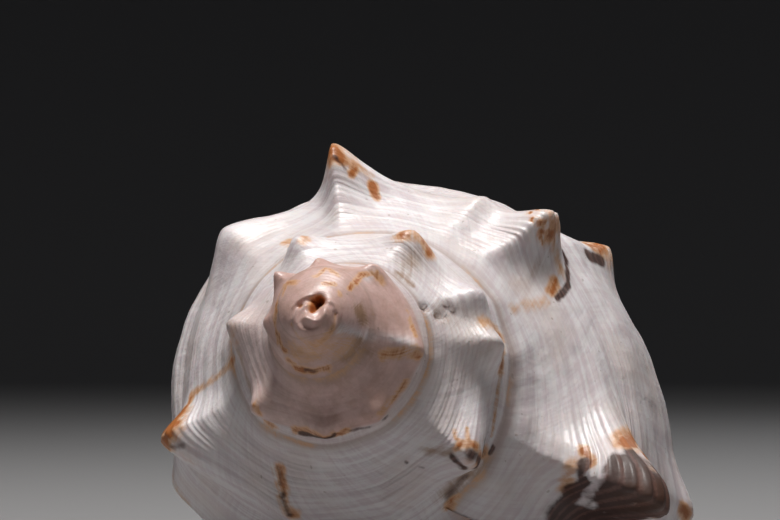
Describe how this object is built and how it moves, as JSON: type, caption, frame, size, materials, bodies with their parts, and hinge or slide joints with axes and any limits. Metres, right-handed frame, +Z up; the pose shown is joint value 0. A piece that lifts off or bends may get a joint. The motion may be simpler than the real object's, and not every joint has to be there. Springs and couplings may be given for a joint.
{
  "type": "conch shell",
  "caption": "Spined conch shell with a stepped spire, knobbed shoulder, open mouth and siphonal canal, lying on its mouth.",
  "frame": {"origin": "centre of the bottom of the bounding box, on the surface that the shell lies on", "axes": "+Z up, +Y towards the end of the siphonal canal, -Y towards the spire, the outer lip on the +X side"},
  "size_m": [0.0788, 0.1146, 0.0672],
  "materials": {
    "shell": "satin chalky white shell, pinkish tan on the spire, orange to dark brown on the knobs' tips"
  },
  "bodies": {
    "root": {"shell": "shell"}
  },
  "joints": []
}
